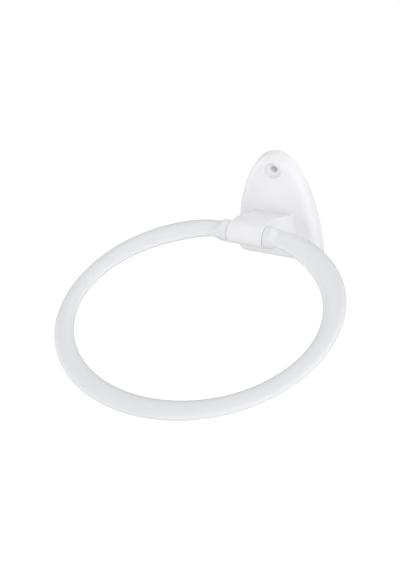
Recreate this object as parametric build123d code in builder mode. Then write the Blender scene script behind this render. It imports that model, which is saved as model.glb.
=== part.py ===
from build123d import *
import os
from math import atan, cos, degrees, radians, sin

os.makedirs("parts", exist_ok=True)

# Frame: the wall is the plane y = 0, the room lies towards -Y and +Z is up.
# The origin is on the wall, midway between the two screw holes.
# All lengths are in millimetres and all angles in degrees.

# Wall plate, an arch on a flat foot; the two pulls shape its sides and its crown
plate_width = 62.0
plate_height = 79.6
plate_side_pull = 30.2
plate_crown_pull = 21.7
plate_depth = 11.0
plate_draft = 0.8
plate_edge_round = 5.4
plate_corner_round = 6.5
side_wall = 2.2
face_wall = 2.4

# Screw holes, sunk in bosses that reach back to the wall
screw_spacing = 54.0
foot_below_screw = 15.2
screw_hole_radius = 2.4
recess_radius = 5.6
recess_depth = 3.2
recess_edge_round = 0.8
boss_wall = 2.0

# Ribs inside the plate, which stop short of the wall
rib_thickness = 1.6
rib_setback = 0.8
cross_rib_height = 12.0

# Barrel at the end of the arm, which carries the ring
barrel_reach = 54.8
barrel_rise = 4.9
barrel_radius = 7.3
barrel_length = 24.4
barrel_edge_round = 0.7

# Arm from the plate up to the barrel
arm_slope = 24.0
arm_keel_slope = 20.0
arm_crown_radius = 34.0
arm_width = 23.6
arm_root_width = 27.0
arm_edge_round = 1.2
arm_root_round = 1.2
arm_wall = 2.6

# Ring: its hub end is drawn in from the full circle and it droops in front
ring_radius = 80.0
hub_inset = 4.5
ring_droop = 5.8

# The ring's tube is widest at its necks, narrowest at its sides and swells again in front
neck_width = 17.0
neck_thickness = 7.8
neck_length = 22.0
taper_length = 95.0
side_width = 11.6
tube_thickness = 6.2
front_width = 13.8
swell_length = 110.0
section_count = 32

# Ring ends: a collar, a shoulder and a stub pin on each side of the barrel
collar_radius = 7.2
collar_length = 4.4
shoulder_length = 4.2
collar_edge_round = 0.7
pin_radius = 3.0
pin_length = 6.5
pin_chamfer = 0.6

# Clearances of the pivot
collar_gap = 0.2
pin_clearance = 0.05
pin_end_gap = 0.6

# Values worked out from the sizes above
plate_foot = -screw_spacing / 2 - foot_below_screw
hollow_depth = plate_depth - face_wall
boss_radius = recess_radius + boss_wall
side_rib_place = (arm_root_width - rib_thickness) / 2
barrel_half = barrel_length / 2
collar_start = barrel_half + collar_gap
collar_end = collar_start + collar_length
shoulder_end = collar_end + shoulder_length
pin_tip = barrel_half - pin_length
bore_radius = pin_radius + pin_clearance
bore_end = pin_tip - pin_end_gap
barrel_middle = (0, -barrel_reach, barrel_rise)
rib_plane = Plane.XZ.offset(rib_setback)
face_plane = Plane.XZ.offset(plate_depth)

# The arm's side view has its first direction towards the wall, and its plan view looks down
side_plane = Plane(origin=barrel_middle, x_dir=(0, 1, 0), z_dir=(1, 0, 0))
plan_plane = Plane(barrel_middle)

# The ring's own plane, with its second direction towards the wall
droop = radians(ring_droop)
ring_normal = (0, -sin(droop), cos(droop))
ring_plane = Plane(origin=barrel_middle, x_dir=(1, 0, 0), z_dir=ring_normal)


def plate_outline(plane, inset):
    """The plate's arch on a plane parallel to the wall, drawn in from the rim by the inset."""
    half_width = plate_width / 2 - inset
    foot = plate_foot + inset
    crown = plate_foot + plate_height - inset
    side_end = (half_width, plate_foot + plate_side_pull)
    crown_end = (plate_crown_pull - inset, crown)
    with BuildSketch(plane) as outline:
        with BuildLine():
            Line((0, foot), (half_width, foot))
            Bezier((half_width, foot), side_end, crown_end, (0, crown))
            mirror(about=Plane.YZ)
        make_face()
        fillet(outline.vertices().group_by(Axis.Y)[0], plate_corner_round - inset)
    return outline.sketch


def arm_side_outline(inset):
    """The arm from the side: level over the barrel, then sloping down to the plate."""
    radius = barrel_radius - inset
    keel_start = (-radius * sin(radians(arm_keel_slope)), -radius * cos(radians(arm_keel_slope)))
    with BuildSketch(side_plane) as outline:
        with BuildLine():
            crown = JernArc((0, radius), (1, 0), arm_crown_radius - inset, -arm_slope)
            top = PolarLine(crown @ 1, barrel_reach, -arm_slope, length_mode=LengthMode.HORIZONTAL)
            keel_run = barrel_reach + radius
            keel = PolarLine(keel_start, keel_run, -arm_keel_slope, length_mode=LengthMode.HORIZONTAL)
            Line(top @ 1, keel @ 1)
            Line(keel @ 0, crown @ 0)
        make_face()
    return outline.sketch


def arm_plan_outline(inset, start, end):
    """The arm from above, between two distances behind the barrel's axis, wider at the plate."""
    tip = arm_width / 2 - inset
    root = arm_root_width / 2 - inset
    flare_end = barrel_reach - hollow_depth
    with BuildSketch(plan_plane) as outline:
        with BuildLine():
            Polyline((0, start), (tip, start), (tip, barrel_radius + inset))
            TangentArc((tip, barrel_radius + inset), (root, flare_end), tangent=(0, 1))
            Polyline((root, flare_end), (root, end), (0, end))
            mirror(about=Plane.YZ)
        make_face()
    return outline.sketch


# Arm, from the barrel's axis through the plate's face to just short of the wall
with BuildPart() as arm:
    extrude(arm_side_outline(0), amount=arm_root_width, both=True)
    arm_plan = arm_plan_outline(0, 0, barrel_reach - rib_setback)
    extrude(arm_plan, amount=plate_height, both=True, mode=Mode.INTERSECT)
    long_edges = arm.edges().filter_by(lambda edge: abs(edge.tangent_at(0.5).Y) > 0.5)
    fillet(long_edges, arm_edge_round)

# Hollow in the arm, open to the wall, which keeps the arm's walls even
with BuildPart() as arm_hollow:
    extrude(arm_side_outline(arm_wall), amount=arm_root_width, both=True)
    hollow_plan = arm_plan_outline(arm_wall, barrel_radius, barrel_reach)
    extrude(hollow_plan, amount=plate_height, both=True, mode=Mode.INTERSECT)

# Space inside the plate, open to the wall, less the ribs and screw bosses that stand in it
with BuildPart() as plate_hollow:
    hollow_mouth = plate_outline(Plane.XZ, side_wall)
    hollow_floor = plate_outline(Plane.XZ.offset(hollow_depth), side_wall + plate_draft)
    loft([hollow_mouth, hollow_floor], ruled=True)
    fillet(plate_hollow.faces().sort_by(Axis.Y)[0].edges(), plate_edge_round - side_wall)
    with BuildSketch(rib_plane):
        with Locations((0, 0), (side_rib_place, 0), (-side_rib_place, 0)):
            Rectangle(rib_thickness, plate_height)
        with Locations((0, cross_rib_height), (0, -cross_rib_height)):
            Rectangle(plate_width, rib_thickness)
    extrude(amount=plate_depth, mode=Mode.SUBTRACT)
    with BuildSketch(Plane.XZ):
        with GridLocations(0, screw_spacing, 1, 2):
            Circle(boss_radius)
    extrude(amount=plate_depth, mode=Mode.SUBTRACT)

# Barrel with softly rounded ends
with BuildPart() as barrel:
    with BuildSketch(side_plane):
        Circle(barrel_radius)
    extrude(amount=barrel_half, both=True)
    fillet(barrel.edges().filter_by(GeomType.CIRCLE), barrel_edge_round)

# Wall bracket: plate, arm and barrel in one moulding
with BuildPart() as wall_bracket:
    loft([plate_outline(Plane.XZ, 0), plate_outline(face_plane, plate_draft)], ruled=True)
    fillet(wall_bracket.faces().sort_by(Axis.Y)[0].edges(), plate_edge_round)
    add(plate_hollow.part, mode=Mode.SUBTRACT)
    add(arm.part)
    face_edges = wall_bracket.edges().filter_by_position(Axis.Y, -plate_depth, -plate_depth)
    fillet(face_edges.filter_by_position(Axis.X, -arm_root_width / 2, arm_root_width / 2), arm_root_round)
    add(arm_hollow.part, mode=Mode.SUBTRACT)
    add(barrel.part)
    for height in (screw_spacing / 2, -screw_spacing / 2):
        # Half the recess and hole in section: first direction into the room, second away from the axis
        with BuildSketch(Plane(origin=(0, -plate_depth, height), x_dir=(0, -1, 0), z_dir=(-1, 0, 0))):
            with BuildLine():
                lip_start = (-recess_edge_round, recess_radius)
                lip_end = (0, recess_radius + recess_edge_round)
                seat = (-recess_depth, screw_hole_radius)
                mouth = (recess_edge_round, recess_radius + recess_edge_round)
                Polyline(lip_start, (-recess_depth, recess_radius), seat)
                Polyline(seat, (-plate_depth, screw_hole_radius), (-plate_depth, 0))
                Polyline((-plate_depth, 0), (recess_edge_round, 0), mouth, lip_end)
                RadiusArc(lip_start, lip_end, -recess_edge_round)
            make_face()
        revolve(axis=Axis((0, 0, height), (0, 1, 0)), mode=Mode.SUBTRACT)
    # A blind bore in each end of the barrel takes the ring's pins
    for turn in (1, -1):
        with BuildSketch(side_plane.offset(turn * bore_end)):
            Circle(bore_radius)
        extrude(amount=turn * barrel_half, mode=Mode.SUBTRACT)

# Path of the tube: the ring's circle, then a tighter arc that meets the barrel's axis squarely
hub_turn = 2 * atan(hub_inset / shoulder_end)
hub_arc_radius = ring_radius - shoulder_end / sin(hub_turn)
with BuildLine(ring_plane) as ring_path:
    near_arc = JernArc((shoulder_end, 0), (1, 0), hub_arc_radius, -degrees(hub_turn))
    JernArc(near_arc @ 1, near_arc % 1, ring_radius, degrees(hub_turn) * 2 - 360)
    mirror(near_arc, about=Plane.YZ)
ring_wire = ring_path.wire()


def ease(share):
    """Runs smoothly from 0 to 1 as the share does."""
    share = min(max(share, 0), 1)
    return share * share * (3 - 2 * share)


def tube_size(from_hub):
    """The tube's width and thickness at a distance along it from the nearer shoulder."""
    from_front = ring_wire.length / 2 - from_hub
    opening = ease(from_hub / neck_length)
    taper = ease((from_hub - neck_length) / taper_length)
    swell = ease(1 - from_front / swell_length)
    width = 2 * collar_radius + (neck_width - 2 * collar_radius) * opening
    width = width + (side_width - neck_width) * taper
    width = width + (front_width - side_width) * swell
    thickness = neck_thickness + (tube_thickness - neck_thickness) * taper
    return width, thickness


def tube_section(share):
    """The tube's oval at a share of the path, square to the path."""
    from_hub = min(share, 1 - share) * ring_wire.length
    width, thickness = tube_size(from_hub)
    square = Plane(origin=ring_wire @ share, x_dir=ring_normal, z_dir=ring_wire % share)
    with BuildSketch(square) as section:
        Ellipse(thickness / 2, width / 2)
    return section.sketch


# Ring ends, one on each side of the barrel
with BuildPart() as ring_ends:
    end_plane = Plane(origin=barrel_middle, x_dir=ring_normal, z_dir=(1, 0, 0))
    with BuildSketch(end_plane.offset(collar_start)):
        Circle(collar_radius)
    extrude(amount=collar_length)
    fillet(ring_ends.edges().sort_by(Axis.X)[0], collar_edge_round)
    with BuildSketch(end_plane.offset(collar_end)):
        Circle(collar_radius)
    with BuildSketch(end_plane.offset(shoulder_end)):
        Ellipse(neck_thickness / 2, collar_radius)
    loft(ruled=True)
    with BuildSketch(end_plane.offset(pin_tip)):
        Circle(pin_radius)
    extrude(amount=collar_end - pin_tip)
    chamfer(ring_ends.edges().sort_by(Axis.X)[0], pin_chamfer)
    mirror(about=Plane.YZ)

# Towel ring: tube, shoulders, collars and stub pins in one moulding
with BuildPart() as towel_ring:
    loft([tube_section(step / section_count) for step in range(section_count + 1)])
    add(ring_ends.part)

wall_bracket.part.label = "wall_bracket"
towel_ring.part.label = "towel_ring"
export_step(wall_bracket.part, "parts/wall_bracket.step")
export_step(towel_ring.part, "parts/towel_ring.step")
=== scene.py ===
from math import pi, radians

import bpy
from mathutils import Matrix, Vector

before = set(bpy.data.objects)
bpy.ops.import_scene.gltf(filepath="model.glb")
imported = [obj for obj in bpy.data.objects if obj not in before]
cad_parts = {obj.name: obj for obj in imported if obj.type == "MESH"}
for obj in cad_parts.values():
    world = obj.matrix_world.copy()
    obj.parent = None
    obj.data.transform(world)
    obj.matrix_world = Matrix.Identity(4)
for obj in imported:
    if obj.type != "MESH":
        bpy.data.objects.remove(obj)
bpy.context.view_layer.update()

MM = 0.001

# Camera as worked out from the outlines of the ring and plate in the photograph.
# Its angles are in degrees, its lens and sensor in millimetres.
CAMERA_PLACE = Vector((242.52, -557.99, 353.88)) * MM
CAMERA_HEADING = 29.20
CAMERA_TILT = 55.43
CAMERA_ROLL = -6.23
CAMERA_LENS = 65.10
CAMERA_SENSOR = 36
CAMERA_NEAR_LIMIT = 0.02
CAMERA_FAR_LIMIT = 40

# Middle of the barrel, which every lamp is placed from and points at
HUB = Vector((0, -54.8, 4.9)) * MM

# The plastic: its shine, the wider marks and the fine grain that the mould leaves on its skin,
# and how far light gets into it
CLOUD_SIZE = 18 * MM
WAVE_SIZE = 7 * MM
SKIN_SIZE = 0.35 * MM
NOISE_ROUGHNESS = 0.55
SHINE_ROUGHNESS = 0.36
SHINE_SPREAD = 0.06
RELIEF_DEPTH = 0.05 * MM
RELIEF_STRENGTH = 0.12
PLASTIC_IOR = 1.46
GLOW_WEIGHT = 0.15
GLOW_RADIUS = (1.0, 1.0, 0.95)
GLOW_DEPTH = 1.0 * MM

# The floor lies low enough for the hanger to be seen from underneath. It throws back less
# light than it shows to the camera, where its glow makes it white.
FLOOR_SIZE = 12
FLOOR_HEIGHT = -0.75
FLOOR_BOUNCE = 0.68
FLOOR_SHADE = 0.45
FLOOR_GLOW = 0.80


class Socket:
    """A value on its way through a material, with arithmetic that adds Math nodes."""

    def __init__(self, graph, link):
        self.graph = graph
        self.link = link

    def maths(self, operation, first, second):
        made = self.graph.add("ShaderNodeMath", {"operation": operation}, {0: first, 1: second})
        return made["Value"]

    def __add__(self, other):
        return self.maths("ADD", self, other)

    def __radd__(self, other):
        return self.maths("ADD", other, self)

    def __mul__(self, other):
        return self.maths("MULTIPLY", self, other)

    def __rmul__(self, other):
        return self.maths("MULTIPLY", other, self)


class Graph:
    """The node tree of a material or of the world, started empty."""

    def __init__(self, owner):
        owner.use_nodes = True
        self.tree = owner.node_tree
        self.tree.nodes.clear()

    def add(self, kind, settings=None, values=None):
        """Adds a node, sets it up, feeds its sockets and gives back its outputs by name."""
        node = self.tree.nodes.new(kind)
        for name, value in (settings or {}).items():
            setattr(node, name, value)
        for name, value in (values or {}).items():
            if isinstance(value, Socket):
                self.tree.links.new(value.link, node.inputs[name])
            else:
                node.inputs[name].default_value = value
        return {out.name: Socket(self, out) for out in node.outputs if out.enabled}


def grey(level):
    """A neutral colour of the given lightness."""
    return (level, level, level, 1)


def grain(graph, size, detail):
    """Noise from 0 to 1 on the piece's own coordinates, with grains of about the given size."""
    place = graph.add("ShaderNodeTexCoord")["Object"]
    return graph.add(
        "ShaderNodeTexNoise", {"noise_dimensions": "3D"},
        {"Vector": place, "Scale": 1 / size, "Detail": detail, "Roughness": NOISE_ROUGHNESS},
    )["Fac"]


def satin_plastic(name, deep, light):
    """White moulded plastic with an even satin skin, faint clouding and a fine mould grain."""
    material = bpy.data.materials.new(name)
    graph = Graph(material)
    clouds = grain(graph, CLOUD_SIZE, 3)
    skin = grain(graph, SKIN_SIZE, 2)
    waves = grain(graph, WAVE_SIZE, 1)
    colour = graph.add(
        "ShaderNodeMix", {"data_type": "RGBA"},
        {"Factor": clouds, "A": (*deep, 1), "B": (*light, 1)},
    )["Result"]
    roughness = SHINE_ROUGHNESS + clouds * SHINE_SPREAD + skin * SHINE_SPREAD
    height = 0.7 * skin + 0.3 * waves
    bump = graph.add(
        "ShaderNodeBump", {},
        {"Strength": RELIEF_STRENGTH, "Distance": RELIEF_DEPTH, "Height": height},
    )["Normal"]
    surface = graph.add(
        "ShaderNodeBsdfPrincipled", {},
        {
            "Base Color": colour, "Roughness": roughness, "Normal": bump, "IOR": PLASTIC_IOR,
            "Subsurface Weight": GLOW_WEIGHT, "Subsurface Radius": GLOW_RADIUS,
            "Subsurface Scale": GLOW_DEPTH,
        },
    )["BSDF"]
    graph.add("ShaderNodeOutputMaterial", {}, {"Surface": surface})
    return material


def dress(node, material):
    """Gives a CAD node its finish by its object's own material slots."""
    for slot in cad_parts[node].material_slots:
        slot.link = "OBJECT"
        slot.material = material


def floor_white():
    """White to the camera wherever the hanger casts no shadow, and matt to all other light."""
    material = bpy.data.materials.new("floor_white")
    graph = Graph(material)
    bounce = graph.add("ShaderNodeBsdfDiffuse", {}, {"Color": grey(FLOOR_BOUNCE)})["BSDF"]
    lit = graph.add("ShaderNodeBsdfDiffuse", {}, {"Color": grey(FLOOR_SHADE)})["BSDF"]
    seen = graph.add("ShaderNodeLightPath")["Is Camera Ray"]
    glow = graph.add(
        "ShaderNodeEmission", {}, {"Color": grey(1), "Strength": FLOOR_GLOW},
    )["Emission"]
    bright = graph.add("ShaderNodeAddShader", {}, {0: lit, 1: glow})["Shader"]
    surface = graph.add("ShaderNodeMixShader", {}, {0: seen, 1: bounce, 2: bright})["Shader"]
    graph.add("ShaderNodeOutputMaterial", {}, {"Surface": surface})
    return material


def white_floor():
    """A plain floor well below the hanger."""
    bpy.ops.mesh.primitive_plane_add(size=FLOOR_SIZE, location=(0, 0, FLOOR_HEIGHT))
    floor = bpy.context.object
    floor.name = "floor"
    floor.data.materials.append(floor_white())


def white_world(level):
    """Even light from all round, and plain white where the camera looks past the floor."""
    world = bpy.data.worlds.new("studio")
    bpy.context.scene.world = world
    graph = Graph(world)
    around = graph.add(
        "ShaderNodeBackground", {}, {"Color": grey(1), "Strength": level},
    )["Background"]
    white = graph.add(
        "ShaderNodeBackground", {}, {"Color": grey(1), "Strength": 1.0},
    )["Background"]
    seen = graph.add("ShaderNodeLightPath")["Is Camera Ray"]
    surface = graph.add("ShaderNodeMixShader", {}, {0: seen, 1: around, 2: white})["Shader"]
    graph.add("ShaderNodeOutputWorld", {}, {"Surface": surface})


def soft_lamp(name, place, size, level):
    """A square soft box that points at the hub and is placed from it, in metres.

    The level is how light it alone would show a white card at the hub that faces it.
    """
    away = Vector(place)
    lamp = bpy.data.lights.new(name, "AREA")
    lamp.size = size
    lamp.energy = level * (pi * away.length) ** 2
    holder = bpy.data.objects.new(name, lamp)
    bpy.context.scene.collection.objects.link(holder)
    holder.location = HUB + away
    holder.rotation_euler = away.to_track_quat("Z", "Y").to_euler()


def camera():
    """The camera at the photograph's place, heading, tilt and roll."""
    data = bpy.data.cameras.new("camera")
    data.lens = CAMERA_LENS
    data.sensor_width = CAMERA_SENSOR
    data.clip_start = CAMERA_NEAR_LIMIT
    data.clip_end = CAMERA_FAR_LIMIT
    holder = bpy.data.objects.new("camera", data)
    bpy.context.scene.collection.objects.link(holder)
    turn = (
        Matrix.Rotation(radians(CAMERA_HEADING), 4, "Z")
        @ Matrix.Rotation(radians(CAMERA_TILT), 4, "X")
        @ Matrix.Rotation(radians(CAMERA_ROLL), 4, "Z")
    )
    holder.matrix_world = Matrix.Translation(CAMERA_PLACE) @ turn
    bpy.context.scene.camera = holder


bracket_plastic = satin_plastic("bracket_plastic", (0.868, 0.868, 0.884), (0.884, 0.884, 0.900))
dress("wall_bracket", bracket_plastic)
ring_plastic = satin_plastic("ring_plastic", (0.800, 0.807, 0.828), (0.818, 0.825, 0.846))
dress("towel_ring", ring_plastic)

white_floor()
white_world(0.38)
soft_lamp("camera_lamp", (0.80, -1.45, 1.15), 1.8, 0.33)
soft_lamp("front_lamp", (0.10, -1.90, 0.35), 1.6, 0.17)
soft_lamp("right_lamp", (1.90, -0.55, 0.20), 2.4, 0.42)
soft_lamp("left_lamp", (-1.90, -0.55, 0.20), 2.4, 0.56)
soft_lamp("back_lamp", (1.50, 1.10, 0.75), 1.6, 0.26)
soft_lamp("top_lamp", (-0.20, 0.30, 0.55), 0.5, 0.21)
camera()
bpy.context.scene.view_settings.view_transform = "Standard"
